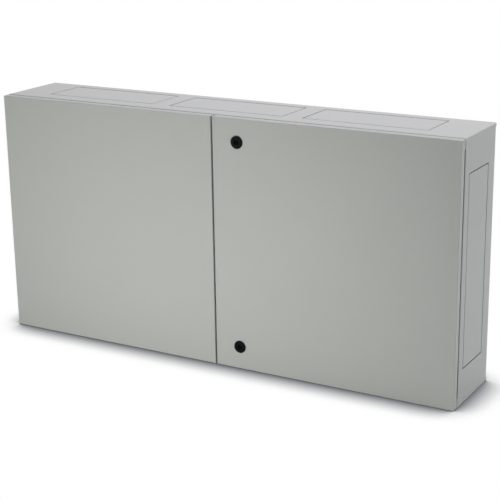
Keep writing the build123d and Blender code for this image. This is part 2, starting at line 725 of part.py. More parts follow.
# Hinges
for side, leaf in ((RIGHT, "right"), (LEFT, "left")):
    for hinge_z, level in zip(HINGE_HEIGHTS, ("lower", "upper")):
        with BuildPart() as arm:
            add(hinge_arm(side, hinge_z))
        write(arm, f"{leaf}_{level}_hinge_arm")
        with BuildPart() as bracket:
            add(hinge_bracket(side, hinge_z))
        write(bracket, f"{leaf}_{level}_hinge_bracket")
    with BuildPart() as pins:
        for hinge_z in HINGE_HEIGHTS:
            add(hinge_pin(side, hinge_z))
    write(pins, f"{leaf}_hinge_pins")

with BuildPart() as hinge_screw_set:
    for side in (RIGHT, LEFT):
        for hinge_z in HINGE_HEIGHTS:
            add(hinge_screws(side, hinge_z))
write(hinge_screw_set, "hinge_screws")


def lock_plane(height):
    """Plane through a lock axis, X to the right and Y to the back, for turned sections."""
    return Plane(origin=(LOCK_FROM_CENTRE, y_at(0), height), x_dir=(1, 0, 0), z_dir=(0, 0, 1))


def lock_axis(height):
    """Turning axis of a lock, from front to back."""
    return Axis(origin=(LOCK_FROM_CENTRE, y_at(0), height), direction=(0, 1, 0))


def lock_housing(height):
    """Round rosette with a domed edge and a barrel with two flats, bored for the rotor."""
    bore = ROTOR_RADIUS + ROTOR_CLEARANCE
    neck_bore = ROTOR_NECK_RADIUS + ROTOR_CLEARANCE
    with BuildPart() as housing:
        with BuildSketch(lock_plane(height)):
            with BuildLine():
                Polyline(
                    (bore, -ROSETTE_HEIGHT),
                    (bore, ROTOR_SHOULDER),
                    (neck_bore, ROTOR_SHOULDER),
                    (neck_bore, BARREL_BACK),
                    (BARREL_RADIUS, BARREL_BACK),
                    (BARREL_RADIUS, 0),
                    (ROSETTE_RADIUS, 0),
                    (ROSETTE_RADIUS, -ROSETTE_HEIGHT + ROSETTE_LIP),
                )
                TangentArc(
                    (ROSETTE_RADIUS, -ROSETTE_HEIGHT + ROSETTE_LIP),
                    (ROSETTE_RADIUS - ROSETTE_LIP, -ROSETTE_HEIGHT),
                    tangent=(0, -1),
                )
                Line((ROSETTE_RADIUS - ROSETTE_LIP, -ROSETTE_HEIGHT), (bore, -ROSETTE_HEIGHT))
            make_face()
        revolve(axis=lock_axis(height))
        with BuildSketch(at_depth(0)):
            with Locations((LOCK_FROM_CENTRE, height)):
                Circle(2 * BARREL_RADIUS)
                Rectangle(BARREL_FLATS, 4 * BARREL_RADIUS, mode=Mode.SUBTRACT)
        extrude(amount=-BARREL_BACK, mode=Mode.SUBTRACT)
    return housing.part


def lock_nut(height):
    """Hexagon nut that clamps the housing to the door sheet."""
    with BuildPart() as nut:
        with BuildSketch(at_depth(SHEET)):
            with Locations((LOCK_FROM_CENTRE, height)):
                RegularPolygon(LOCK_NUT_FLATS / 2, 6, major_radius=False)
                Circle(BARREL_RADIUS + ROTOR_CLEARANCE, mode=Mode.SUBTRACT)
        extrude(amount=-LOCK_NUT_HEIGHT)
    return nut.part


def lock_rotor(height):
    """Turning core: a head with a key socket and double-bit pin, a neck and a square end."""
    square_back = CAM_FRONT + CAM_THICKNESS
    with BuildPart() as rotor:
        with BuildSketch(lock_plane(height)):
            with BuildLine():
                Polyline(
                    (0, ROTOR_RECESS - ROSETTE_HEIGHT),
                    (ROTOR_RADIUS, ROTOR_RECESS - ROSETTE_HEIGHT),
                    (ROTOR_RADIUS, ROTOR_SHOULDER),
                    (ROTOR_NECK_RADIUS, ROTOR_SHOULDER),
                    (ROTOR_NECK_RADIUS, CAM_FRONT),
                    (0, CAM_FRONT),
                    close=True,
                )
            make_face()
        revolve(axis=lock_axis(height))
        with BuildSketch(at_depth(ROTOR_RECESS - ROSETTE_HEIGHT)):
            with Locations((LOCK_FROM_CENTRE, height)):
                Circle(SOCKET_RADIUS)
        extrude(amount=-SOCKET_DEPTH, mode=Mode.SUBTRACT)
        with BuildSketch(at_depth(ROTOR_RECESS - ROSETTE_HEIGHT + KEY_PIN_RECESS)):
            with Locations((LOCK_FROM_CENTRE, height)):
                Circle(KEY_PIN_RADIUS)
                Rectangle(KEY_BIT_WIDTH, 2 * KEY_BIT_REACH)
        extrude(amount=-SOCKET_DEPTH)
        with BuildSketch(at_depth(CAM_FRONT)):
            with Locations((LOCK_FROM_CENTRE, height)):
                Rectangle(CAM_SQUARE, CAM_SQUARE)
        extrude(amount=-CAM_THICKNESS)
        with BuildSketch(at_depth(square_back)):
            with Locations((LOCK_FROM_CENTRE, height)):
                Circle(CAM_SCREW_RADIUS + PIN_CLEARANCE)
        extrude(amount=CAM_SCREW_LENGTH + CAM_THICKNESS, mode=Mode.SUBTRACT)
    return rotor.part


def lock_cam(height):
    """Flat cam with a square hole, pointing away from the post in the open position."""
    with BuildPart() as cam:
        with BuildSketch(at_depth(CAM_FRONT)) as outline:
            with Locations((LOCK_FROM_CENTRE, height)):
                Circle(CAM_WIDTH / 2)
            with Locations((LOCK_FROM_CENTRE + CAM_REACH / 2, height)):
                Rectangle(CAM_REACH, CAM_WIDTH)
            tip = outline.vertices().group_by(Axis.X)[-1]
            fillet(tip, radius=CAM_WIDTH / 4)
            with Locations((LOCK_FROM_CENTRE, height)):
                Rectangle(CAM_SQUARE, CAM_SQUARE, mode=Mode.SUBTRACT)
        extrude(amount=-CAM_THICKNESS)
    return cam.part


def cam_screw(height):
    """Screw that holds the cam on the square end of the rotor."""
    with BuildPart() as screw:
        with BuildSketch(at_depth(CAM_FRONT + CAM_THICKNESS)):
            with Locations((LOCK_FROM_CENTRE, height)):
                RegularPolygon(CAM_SCREW_FLATS / 2, 6, major_radius=False)
        extrude(amount=-CAM_SCREW_HEAD_HEIGHT)
        with BuildSketch(at_depth(CAM_FRONT + CAM_THICKNESS)):
            with Locations((LOCK_FROM_CENTRE, height)):
                Circle(CAM_SCREW_RADIUS)
        extrude(amount=CAM_SCREW_LENGTH)
    return screw.part


# Locks
for lock_z, level in zip(LOCK_HEIGHTS, ("lower", "upper")):
    with BuildPart() as housing:
        add(lock_housing(lock_z))
    write(housing, f"{level}_lock_housing")
    with BuildPart() as nut:
        add(lock_nut(lock_z))
    write(nut, f"{level}_lock_nut")
    with BuildPart() as rotor:
        add(lock_rotor(lock_z))
    write(rotor, f"{level}_lock_rotor")
    with BuildPart() as cam:
        add(lock_cam(lock_z))
    write(cam, f"{level}_lock_cam")
    with BuildPart() as screw:
        add(cam_screw(lock_z))
    write(screw, f"{level}_cam_screw")

# Upper slide bolt of the left door, drawn back: a rod with a thumb knob towards the post
bolt_tip = POST_TOP - SHEET - BOLT_TIP_GAP
bolt_base = bolt_tip - BOLT_LENGTH
knob_z = bolt_tip - BOLT_KNOB_FROM_TIP
with BuildPart() as upper_slide_bolt:
    with BuildSketch(Plane.XY.offset(bolt_base)):
        with Locations((-BOLT_FROM_CENTRE, y_at(BOLT_DEPTH))):
            Circle(BOLT_RADIUS)
    extrude(amount=BOLT_LENGTH)
    chamfer(upper_slide_bolt.faces().sort_by(Axis.Z)[-1].edges(), length=BOLT_TIP_BEVEL)
    with BuildSketch(at_depth(BOLT_DEPTH)):
        with Locations((-BOLT_FROM_CENTRE, knob_z)):
            Circle(BOLT_KNOB_STEM)
    extrude(amount=BOLT_DEPTH - BOLT_KNOB_REACH)
    with BuildSketch(at_depth(BOLT_KNOB_REACH)):
        with Locations((-BOLT_FROM_CENTRE, knob_z)):
            Circle(BOLT_KNOB_RADIUS)
    extrude(amount=BOLT_KNOB_HEAD)
    fillet(
        upper_slide_bolt.faces().sort_by(Axis.Y)[-1].edges(),
        radius=BOLT_KNOB_HEAD / 3,
    )
write(upper_slide_bolt, "upper_slide_bolt")

# Its bracket: a strip on the seam-side return with two ears that guide the rod
bracket_top = bolt_tip - BOLT_BRACKET_FROM_TIP
return_x = -(SEAM / 2 + SHEET)
bracket_middle = y_at((BOLT_BRACKET_FRONT + DOOR_RETURN) / 2)
with BuildPart() as upper_bolt_bracket:
    with BuildSketch(Plane.XY.offset(bracket_top - BOLT_BRACKET_HEIGHT)):
        with Locations((return_x - BOLT_BRACKET_REACH / 2, bracket_middle)):
            Rectangle(BOLT_BRACKET_REACH, DOOR_RETURN - BOLT_BRACKET_FRONT)
    extrude(amount=BOLT_BRACKET_HEIGHT)
    fillet(
        upper_bolt_bracket.edges().filter_by(Axis.Z).sort_by(Axis.X)[:2],
        radius=BOLT_RADIUS / 2,
    )
    with BuildSketch(Plane.XY.offset(bracket_top - BOLT_BRACKET_HEIGHT + SHEET)):
        with Locations((return_x - SHEET - BOLT_BRACKET_REACH / 2, bracket_middle)):
            Rectangle(BOLT_BRACKET_REACH, DOOR_RETURN)
    extrude(amount=BOLT_BRACKET_HEIGHT - 2 * SHEET, mode=Mode.SUBTRACT)
    with BuildSketch(Plane.XY.offset(bracket_top - BOLT_BRACKET_HEIGHT)):
        with Locations((-BOLT_FROM_CENTRE, y_at(BOLT_DEPTH))):
            Circle(BOLT_RADIUS + BOLT_GUIDE_CLEARANCE)
    extrude(amount=BOLT_BRACKET_HEIGHT, mode=Mode.SUBTRACT)
write(upper_bolt_bracket, "upper_bolt_bracket")

# Lower slide bolt and bracket: the same, turned over
with BuildPart() as lower_slide_bolt:
    mirror(upper_slide_bolt.part, about=Plane.XY.offset(MIDDLE))
write(lower_slide_bolt, "lower_slide_bolt")

with BuildPart() as lower_bolt_bracket:
    mirror(upper_bolt_bracket.part, about=Plane.XY.offset(MIDDLE))
write(lower_bolt_bracket, "lower_bolt_bracket")
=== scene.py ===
"""Dresses the two-door sheet-steel cabinet: finishes, fine parts, light, floor and camera."""

import json
import logging
import math
from abc import ABC, abstractmethod
from collections.abc import Iterable, Sequence
from dataclasses import dataclass, field, replace
from enum import Enum
from typing import ClassVar

import bmesh
import bpy
from mathutils import Matrix, Vector

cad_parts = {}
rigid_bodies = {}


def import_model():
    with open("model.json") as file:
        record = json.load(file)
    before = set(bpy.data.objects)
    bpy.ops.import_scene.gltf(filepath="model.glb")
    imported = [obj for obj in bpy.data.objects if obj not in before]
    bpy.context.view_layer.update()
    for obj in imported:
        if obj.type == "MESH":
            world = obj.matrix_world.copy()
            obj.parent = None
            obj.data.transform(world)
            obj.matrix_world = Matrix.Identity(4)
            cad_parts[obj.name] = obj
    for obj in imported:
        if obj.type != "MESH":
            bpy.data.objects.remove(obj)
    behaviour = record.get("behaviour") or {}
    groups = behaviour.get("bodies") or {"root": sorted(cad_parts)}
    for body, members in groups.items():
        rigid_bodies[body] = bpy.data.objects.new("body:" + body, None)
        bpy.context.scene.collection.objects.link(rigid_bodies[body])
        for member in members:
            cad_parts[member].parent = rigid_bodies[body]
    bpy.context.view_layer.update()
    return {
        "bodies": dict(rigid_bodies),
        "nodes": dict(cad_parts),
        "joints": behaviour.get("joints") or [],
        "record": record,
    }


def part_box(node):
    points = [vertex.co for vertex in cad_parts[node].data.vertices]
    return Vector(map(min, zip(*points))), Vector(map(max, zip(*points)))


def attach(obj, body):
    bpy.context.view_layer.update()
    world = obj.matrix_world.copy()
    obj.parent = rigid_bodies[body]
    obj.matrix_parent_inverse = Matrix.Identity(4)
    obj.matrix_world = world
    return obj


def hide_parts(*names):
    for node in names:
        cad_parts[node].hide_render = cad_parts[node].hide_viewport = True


LOG = logging.getLogger("cabinet")
MM = 0.001
EARTH_BORE = 3.02 * MM


class Leaf(Enum):
    """The two doors, with the side of the cabinet that each hangs on."""

    LEFT = "left"
    RIGHT = "right"


class Level(Enum):
    """The upper and lower one of a pair of locks, bolts or hinges."""

    UPPER = "upper"
    LOWER = "lower"


class Run(Enum):
    """Which extent of a fastener's box lies along its axis."""

    SHORTEST = "shortest"
    LONGEST = "longest"
    DEPTH = "depth"


class Shader:
    """Short way to place and join the nodes of one material or group."""

    def __init__(self, tree: bpy.types.NodeTree) -> None:
        """Keep the tree that the nodes go into."""
        self.tree = tree

    def node(self, kind: str, settings: dict | None = None, **inputs: object) -> bpy.types.Node:
        """Place a node.

        Args:
            kind: Blender's name of the node type.
            settings: Attributes of the node itself.
            inputs: Socket values, or output sockets to join, by socket name with spaces as "_".

        Returns:
            The new node.
        """
        made = self.tree.nodes.new(kind)
        for name, value in (settings or {}).items():
            setattr(made, name, value)
        for name, value in inputs.items():
            socket = made.inputs[name.replace("_", " ")]
            if isinstance(value, bpy.types.NodeSocket):
                self.tree.links.new(value, socket)
            else:
                socket.default_value = value
        return made

    def math(self, operation: str, first: object, second: object = 0.0) -> bpy.types.NodeSocket:
        """Work out one sum and return its output socket.

        Args:
            operation: Blender's name of the sum.
            first: Value or output socket.
            second: Value or output socket.

        Returns:
            The socket that holds the result.
        """
        made = self.tree.nodes.new("ShaderNodeMath")
        made.operation = operation
        for index, value in enumerate((first, second)):
            if isinstance(value, bpy.types.NodeSocket):
                self.tree.links.new(value, made.inputs[index])
            else:
                made.inputs[index].default_value = value
        return made.outputs[0]


def new_group(name: str, inputs: dict[str, float | tuple], outputs: Sequence[str]) -> Shader:
    """Start a shader node group with named sockets.

    Args:
        name: Name of the group.
        inputs: Starting value by socket name; a tuple of four makes a colour socket.
        outputs: Output names; one that ends in "Color" is a colour.

    Returns:
        The group's shader builder, with "Group Input" and "Group Output" nodes in it.
    """
    tree = bpy.data.node_groups.new(name, "ShaderNodeTree")
    for label, value in inputs.items():
        kind = "NodeSocketColor" if isinstance(value, tuple) else "NodeSocketFloat"
        socket = tree.interface.new_socket(name=label, in_out="INPUT", socket_type=kind)
        socket.default_value = value
    for label in outputs:
        kind = "NodeSocketColor" if label.endswith("Color") else "NodeSocketFloat"
        tree.interface.new_socket(name=label, in_out="OUTPUT", socket_type=kind)
    tree.nodes.new("NodeGroupInput").name = "Group Input"
    tree.nodes.new("NodeGroupOutput").name = "Group Output"
    return Shader(tree)


@dataclass(frozen=True)
class SurfaceGroups:
    """The shader node groups that several finishes share."""

    drift: bpy.types.NodeTree
    grain: bpy.types.NodeTree
    brushing: bpy.types.NodeTree

    @classmethod
    def build(cls) -> "SurfaceGroups":
        """Make each group once."""
        return cls(cls._drift(), cls._grain(), cls._brushing())

    @staticmethod
    def _drift() -> bpy.types.NodeTree:
        """Slow change of tone over a panel, as thickness and batch of a coat give."""
        sheet = new_group(
            "tone_drift",
            {"Color": (0.5, 0.5, 0.5, 1.0), "Scale": 4.0, "Amount": 0.03, "Seed": 0.0},
            ("Color", "Mask"),
        )
        given = sheet.tree.nodes["Group Input"].outputs
        place = sheet.node("ShaderNodeTexCoord").outputs["Object"]
        cloud = sheet.node(
            "ShaderNodeTexNoise",
            {"noise_dimensions": "4D"},
            Vector=place,
            W=given["Seed"],
            Scale=given["Scale"],
            Detail=3.0,
            Roughness=0.55,
        )
        centred = sheet.math("SUBTRACT", cloud.outputs["Fac"], 0.5)
        swing = sheet.math("MULTIPLY", centred, given["Amount"])
        value = sheet.math("ADD", sheet.math("MULTIPLY", swing, 2.0), 1.0)
        toned = sheet.node(
            "ShaderNodeHueSaturation", Hue=0.5, Saturation=1.0, Value=value, Color=given["Color"]
        )
        out = sheet.tree.nodes["Group Output"].inputs
        sheet.tree.links.new(toned.outputs["Color"], out["Color"])
        sheet.tree.links.new(cloud.outputs["Fac"], out["Mask"])
        return sheet.tree

    @staticmethod
    def _grain() -> bpy.types.NodeTree:
        """Fine pebbled skin: two sizes of noise mixed to one height and one mask."""
        sheet = new_group(
            "skin_grain", {"Scale": 600.0, "Coarse": 0.35, "Seed": 0.0}, ("Height", "Mask")
        )
        given = sheet.tree.nodes["Group Input"].outputs
        place = sheet.node("ShaderNodeTexCoord").outputs["Object"]
        fine = sheet.node(
            "ShaderNodeTexNoise",
            {"noise_dimensions": "4D"},
            Vector=place,
            W=given["Seed"],
            Scale=given["Scale"],
            Detail=2.0,
            Roughness=0.5,
        )
        coarse = sheet.node(
            "ShaderNodeTexNoise",
            {"noise_dimensions": "4D"},
            Vector=place,
            W=given["Seed"],
            Scale=sheet.math("MULTIPLY", given["Scale"], given["Coarse"]),
            Detail=1.0,
            Roughness=0.5,
        )
        height = sheet.math("ADD", fine.outputs["Fac"], coarse.outputs["Fac"])
        out = sheet.tree.nodes["Group Output"].inputs
        sheet.tree.links.new(sheet.math("MULTIPLY", height, 0.5), out["Height"])
        sheet.tree.links.new(fine.outputs["Fac"], out["Mask"])
        return sheet.tree

    @staticmethod
    def _brushing() -> bpy.types.NodeTree:
        """Short scratches along Z, as rolled or barrel-plated steel has."""
        sheet = new_group("rolled_lines", {"Scale": 300.0, "Stretch": 0.08}, ("Height", "Mask"))
        given = sheet.tree.nodes["Group Input"].outputs
        place = sheet.node("ShaderNodeTexCoord").outputs["Object"]
        stretch = sheet.node("ShaderNodeCombineXYZ", X=1.0, Y=1.0, Z=given["Stretch"])
        laid = sheet.node("ShaderNodeVectorMath", {"operation": "MULTIPLY"})
        sheet.tree.links.new(place, laid.inputs[0])
        sheet.tree.links.new(stretch.outputs[0], laid.inputs[1])
        lines = sheet.node(
            "ShaderNodeTexNoise",
            Vector=laid.outputs[0],
            Scale=given["Scale"],
            Detail=4.0,
            Roughness=0.6,
        )
        out = sheet.tree.nodes["Group Output"].inputs
        sheet.tree.links.new(lines.outputs["Fac"], out["Height"])
        sheet.tree.links.new(lines.outputs["Fac"], out["Mask"])
        return sheet.tree


@dataclass(frozen=True)
class Finish:
    """One surface finish: a base tone that drifts, a roughness band and a skin."""

    name: str
    color: tuple[float, float, float]
    roughness: float
    roughness_swing: float = 0.08
    metallic: float = 0.0
    drift: float = 0.02
    drift_scale: float = 5.0
    grain_scale: float = 600.0
    grain_depth: float = 0.02
    specular: float = 0.5
    lines: bool = False
    seed: float = 0.0

    def material(self, groups: SurfaceGroups) -> bpy.types.Material:
        """Make the procedural material of this finish.

        Args:
            groups: The shared shader node groups.

        Returns:
            The new material.
        """
        made = bpy.data.materials.new(self.name)
        made.use_nodes = True
        made.node_tree.nodes.clear()
        sheet = Shader(made.node_tree)
        base = self._base_color(sheet, groups)
        skin = self._skin(sheet, groups)
        swing = sheet.math("MULTIPLY", sheet.math("SUBTRACT", skin.outputs["Mask"], 0.5), 2.0)
        rough = sheet.math("MULTIPLY", swing, self.roughness_swing)
        bump = sheet.node(
            "ShaderNodeBump",
            Strength=1.0,
            Distance=self.grain_depth * MM,
            Height=skin.outputs["Height"],
        )
        shader = sheet.node(
            "ShaderNodeBsdfPrincipled",
            Base_Color=base,
            Metallic=self.metallic,
            Roughness=sheet.math("ADD", rough, self.roughness),
            Specular_IOR_Level=self.specular,
            Normal=bump.outputs["Normal"],
        )
        output = sheet.node("ShaderNodeOutputMaterial")
        made.node_tree.links.new(shader.outputs[0], output.inputs["Surface"])
        return made

    def _base_color(self, sheet: Shader, groups: SurfaceGroups) -> bpy.types.NodeSocket:
        """Place the drifting base tone and return its colour socket."""
        tone = sheet.node(
            "ShaderNodeGroup",
            {"node_tree": groups.drift},
            Color=(*self.color, 1.0),
            Scale=self.drift_scale,
            Amount=self.drift,
            Seed=self.seed,
        )
        return tone.outputs["Color"]

    def _skin(self, sheet: Shader, groups: SurfaceGroups) -> bpy.types.Node:
        """Place the skin group and return its node, with Height and Mask outputs."""
        if self.lines:
            return sheet.node(
                "ShaderNodeGroup", {"node_tree": groups.brushing}, Scale=self.grain_scale
            )
        return sheet.node(
            "ShaderNodeGroup", {"node_tree": groups.grain}, Scale=self.grain_scale, Seed=self.seed
        )


@dataclass(frozen=True)
class Spangle(Finish):
    """Galvanised sheet: crystals of zinc that differ a little in tone and gloss."""

    crystal_scale: float = 70.0
    crystal_contrast: float = 0.10

    def _base_color(self, sheet: Shader, groups: SurfaceGroups) -> bpy.types.NodeSocket:
        """Tint the drifting tone by crystal."""
        tone = super()._base_color(sheet, groups)
        place = sheet.node("ShaderNodeTexCoord").outputs["Object"]
        cells = sheet.node("ShaderNodeTexVoronoi", Vector=place, Scale=self.crystal_scale)
        grey = sheet.node("ShaderNodeSeparateColor", Color=cells.outputs["Color"])
        swing = sheet.math("MULTIPLY", grey.outputs["Red"], self.crystal_contrast)
        value = sheet.math("ADD", swing, 1.0 - self.crystal_contrast / 2)
        tinted = sheet.node(
            "ShaderNodeHueSaturation", Hue=0.5, Saturation=1.0, Value=value, Color=tone
        )
        return tinted.outputs["Color"]


@dataclass(frozen=True)
class Finishes:
    """All the finishes of the cabinet, as materials."""

    cabinet: bpy.types.Material
    doors: bpy.types.Material
    plates: bpy.types.Material
    plastic: bpy.types.Material
    rubber: bpy.types.Material
    foam: bpy.types.Material
    zinc: bpy.types.Material
    steel: bpy.types.Material
    casting: bpy.types.Material
    galvanised: bpy.types.Material

    @classmethod
    def build(cls, groups: SurfaceGroups) -> "Finishes":
        """Make each material once.

        Args:
            groups: The shared shader node groups.

        Returns:
            The set of materials.
        """
        paint = (0.50, 0.507, 0.487)
        powder = {"roughness": 0.44, "roughness_swing": 0.05, "drift": 0.012, "grain_scale": 520.0}
        finishes = cls(
            cabinet=Finish("cabinet_paint", paint, seed=1.0, **powder).material(groups),
            doors=Finish("door_paint", paint, seed=2.0, **powder).material(groups),
            plates=Finish("plate_paint", paint, seed=3.0, **powder).material(groups),
            plastic=Finish(
                "lock_black", (0.004, 0.004, 0.0045), 0.38, grain_scale=900.0, grain_depth=0.01,
                specular=0.15,
            ).material(groups),
            rubber=Finish(
                "seal_rubber", (0.022, 0.022, 0.023), 0.72, grain_depth=0.03
            ).material(groups),
            foam=Finish(
                "door_seal_foam", (0.030, 0.030, 0.033), 0.85, grain_scale=1400.0, grain_depth=0.12
            ).material(groups),
            zinc=Finish(
                "zinc_fastener", (0.62, 0.62, 0.60), 0.34, metallic=1.0, drift=0.05,
                drift_scale=60.0, grain_scale=1500.0, grain_depth=0.01,
            ).material(groups),
            steel=Finish(
                "hinge_steel", (0.55, 0.555, 0.55), 0.40, metallic=1.0, drift=0.05,
                drift_scale=40.0, grain_scale=900.0, grain_depth=0.01, lines=True,
            ).material(groups),
            casting=Finish(
                "hinge_cast", (0.42, 0.42, 0.42), 0.55, metallic=1.0, drift=0.06,
                drift_scale=30.0, grain_scale=700.0, grain_depth=0.05,
            ).material(groups),
            galvanised=Spangle(
                "galvanised_sheet", (0.46, 0.475, 0.485), 0.62, metallic=1.0, drift=0.03,
                grain_scale=300.0, grain_depth=0.01,
            ).material(groups),
        )
        return finishes


def dress(frame: dict, nodes: Iterable[str], material: bpy.types.Material) -> None:
    """Give CAD nodes a material.

    Args:
        frame: The loaded frame.
        nodes: Names of the nodes.
        material: The material that each of them gets.
    """
    for name in nodes:
        shown = frame["nodes"][name]
        if not shown.material_slots:
            shown.data.materials.append(material)
        for slot in shown.material_slots:
            slot.material = material
        LOG.info("dressed %s with %s", name, material.name)


Ring = list[Vector]


def round_ring(radius: float, height: float, count: int = 48) -> Ring:
    """Points of a level circle.

    Args:
        radius: Radius in metres.
        height: Height of the circle in metres.
        count: Number of points.

    Returns:
        The points in order.
    """
    turns = [math.tau * index / count for index in range(count)]
    return [Vector((radius * math.cos(turn), radius * math.sin(turn), height)) for turn in turns]


def hex_ring(flats: float, cone: float | None, height: float, count: int = 48) -> Ring:
    """Points of a hexagon, drooping towards its corners where a cone chamfers them.

    Args:
        flats: Width across flats.
        cone: Radius at which the chamfer starts, or None for a level ring.
        height: Height of the ring inside that radius.
        count: Number of points, a multiple of six.

    Returns:
        The points in order.
    """
    points = []
    for index in range(count):
        turn = math.tau * index / count
        off_flat = (turn + math.pi / 6) % (math.pi / 3) - math.pi / 6
        radius = flats / 2 / math.cos(off_flat)
        droop = 0.0 if cone is None else max(0.0, radius - cone) * math.tan(math.pi / 6)
        points.append(Vector((radius * math.cos(turn), radius * math.sin(turn), height - droop)))
    return points


def rectangle_ring(
    low: tuple[float, float], high: tuple[float, float], corner: float, height: float, arc: int = 7
) -> Ring:
    """Points of an upright rectangle with round corners, in X and Z.

    Args:
        low: Lowest X and Z.
        high: Highest X and Z.
        corner: Corner radius.
        height: Y of the ring.
        arc: Points on each corner.

    Returns:
        The points in order.
    """
    points = []
    corners = (
        (high[0] - corner, high[1] - corner),
        (low[0] + corner, high[1] - corner),
        (low[0] + corner, low[1] + corner),
        (high[0] - corner, low[1] + corner),
    )
    for quarter, (centre_x, centre_z) in enumerate(corners):
        for step in range(arc):
            turn = math.pi / 2 * (quarter + step / (arc - 1))
            x = centre_x + corner * math.cos(turn)
            z = centre_z + corner * math.sin(turn)
            points.append(Vector((x, height, z)))
    return points


def lobed_ring(radius: float, height: float, lobes: int = 6, depth: float = 0.14) -> Ring:
    """Points of a wavy circle, the outline of a star-shaped drive.

    Args:
        radius: Mean radius.
        height: Height of the ring.
        lobes: Number of lobes.
        depth: Height of the wave as a share of the radius.

    Returns:
        The points in order.
    """
    points = []
    for flat in round_ring(1.0, 0.0):
        wave = 1.0 + depth * math.cos(lobes * math.atan2(flat.y, flat.x))
        points.append(Vector((radius * wave * flat.x, radius * wave * flat.y, height)))
    return points


@dataclass
class RingMesh:
    """One mesh made of any number of bodies, each lofted through rings of points."""

    name: str
    vertices: list[Vector] = field(default_factory=list)
    faces: list[tuple[int, ...]] = field(default_factory=list)

    def loft(
        self, rings: Sequence[Ring], place: Matrix, capped: bool = True, looped: bool = False
    ) -> None:
        """Add a body that runs through rings of equal length.

        Args:
            rings: The rings in order.
            place: Where the body goes.
            capped: Whether the first and last ring are closed by flat faces.
            looped: Whether the last ring joins the first one.
        """
        count = len(rings[0])
        first = len(self.vertices)
        self.vertices.extend(place @ point for ring in rings for point in ring)
        spans = len(rings) if looped else len(rings) - 1
        for level in range(spans):
            low = first + level * count
            high = first + (level + 1) % len(rings) * count
            for index in range(count):
                after = (index + 1) % count
                self.faces.append((low + index, low + after, high + after, high + index))
        if capped and not looped:
            last = first + (len(rings) - 1) * count
            self.faces.append(tuple(reversed(range(first, first + count))))
            self.faces.append(tuple(range(last, last + count)))

    def finish(
        self,
        material: bpy.types.Material,
        body: str,
        nodes: Sequence[str],
        sharp: float = 35.0,
    ) -> bpy.types.Object:
        """Make the object, hang it on its body and let it stand for CAD nodes.

        Args:
            material: Finish of the piece.
            body: Body that the piece moves with.
            nodes: CAD nodes that the piece replaces.
            sharp: Angle in degrees above which an edge stays sharp.

        Returns:
            The new object.
        """
        mesh = bpy.data.meshes.new(self.name)
        mesh.from_pydata(self.vertices, [], self.faces)
        shape = bmesh.new()
        shape.from_mesh(mesh)
        bmesh.ops.recalc_face_normals(shape, faces=shape.faces)
        shape.to_mesh(mesh)
        shape.free()
        mesh.polygons.foreach_set("use_smooth", [True] * len(mesh.polygons))
        mesh.set_sharp_from_angle(angle=math.radians(sharp))
        mesh.materials.append(material)
        piece = bpy.data.objects.new(self.name, mesh)
        bpy.context.scene.collection.objects.link(piece)
        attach(piece, body)
        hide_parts(*nodes)
        LOG.info("built %s with %d faces", self.name, len(mesh.polygons))
        return piece


@dataclass(frozen=True)
class Seat:
    """Place of one fastener: the foot of its axis, its free direction and its size."""

    foot: Vector
    direction: Vector
    length: float
    width: float

    def matrix(self) -> Matrix:
        """Matrix that stands a fastener modelled along Z on this seat."""
        turn = self.direction.to_track_quat("Z", "Y").to_matrix().to_4x4()
        return Matrix.Translation(self.foot) @ turn

    def under_head(self, head: float) -> "Seat":
        """Seat moved along the axis to the underside of a screw's head.

        Args:
            head: Height of the head.

        Returns:
            The moved seat.
        """
        return replace(self, foot=self.foot + self.direction * (self.length - head))


def seats_of(frame: dict, node: str, run: Run, centre: Vector) -> list[Seat]:
    """Find the separate solids of a CAD node and read a seat from the box of each.

    Args:
        frame: The loaded frame.
        node: Name of the node.
        run: Which extent of a solid's box is its axis.
        centre: Point that the free end of each fastener looks towards.

    Returns:
        One seat for each solid.
    """
    shape = bmesh.new()
    shape.from_mesh(frame["nodes"][node].data)
    bmesh.ops.remove_doubles(shape, verts=shape.verts, dist=0.01 * MM)
    seats = []
    waiting = set(shape.verts)
    while waiting:
        front = [waiting.pop()]
        island = []
        while front:
            vertex = front.pop()
            island.append(vertex.co)
            for edge in vertex.link_edges:
                other = edge.other_vert(vertex)
                if other in waiting:
                    waiting.remove(other)
                    front.append(other)
        low = Vector(min(point[axis] for point in island) for axis in range(3))
        high = Vector(max(point[axis] for point in island) for axis in range(3))
        seats.append(_seat_in_box(low, high, run, centre))
    shape.free()
    return sorted(seats, key=lambda seat: tuple(seat.foot))


def cabinet_centre() -> Vector:
    """Middle of the CAD model, which inner fasteners look towards."""
    low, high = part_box("back_panel")
    return Vector((0.0, 0.0, (low.z + high.z) / 2))


def _seat_in_box(low: Vector, high: Vector, run: Run, centre: Vector) -> Seat:
    """Read the axis, the foot and the size of a fastener from its box."""
    extent = high - low
    order = sorted(range(3), key=lambda axis: extent[axis])
    along = {Run.SHORTEST: order[0], Run.LONGEST: order[-1], Run.DEPTH: 1}[run]
    across = [axis for axis in range(3) if axis != along]
    middle = (low + high) / 2
    direction = Vector((0.0, 0.0, 0.0))
    direction[along] = 1.0 if centre[along] > middle[along] else -1.0
    foot = middle - direction * extent[along] / 2
    return Seat(foot, direction, extent[along], min(extent[axis] for axis in across))


